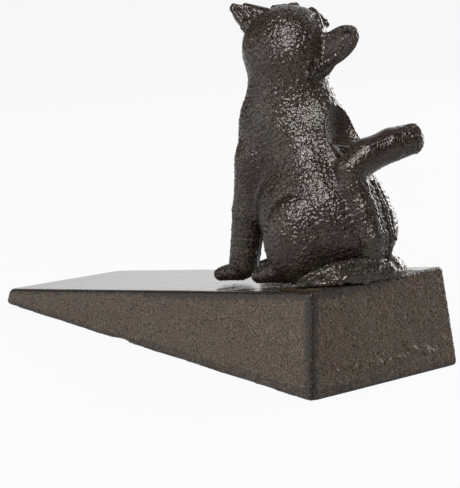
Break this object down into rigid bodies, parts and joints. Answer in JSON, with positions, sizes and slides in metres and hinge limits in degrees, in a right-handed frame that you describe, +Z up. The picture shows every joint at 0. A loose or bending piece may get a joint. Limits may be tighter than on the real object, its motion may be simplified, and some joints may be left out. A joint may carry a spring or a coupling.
{
  "type": "cast iron doorstop",
  "caption": "Sloping cast iron wedge that jams under a door, with a sitting kitten figure screwed to its thick end, looking up over its shoulder.",
  "frame": {"origin": "on the floor, at the middle of the wedge's base", "axes": "+X along the wedge from its thin tip to its thick back, +Y across it to the kitten's right, +Z up"},
  "size_m": [0.14, 0.053, 0.0952],
  "materials": {
    "base_iron": "pebbly sand-cast iron under a thin bronze-brown patina, darker along the edges",
    "figure_iron": "pebbly sand-cast iron under a thin bronze-brown patina, glinting on its bumps",
    "iron_filler": "lumpy iron filler under the same brown patina, with rusty patches",
    "screw_steel": "dull zinc plating",
    "washer_steel": "dull zinc plating",
    "spring_steel": "dark oiled spring steel"
  },
  "bodies": {
    "root": {"wedge_base": "base_iron", "cat_figure": "figure_iron", "filler_bead": "iron_filler", "fixing_screw": "screw_steel", "flat_washer": "washer_steel", "spring_washer": "spring_steel"}
  },
  "joints": []
}
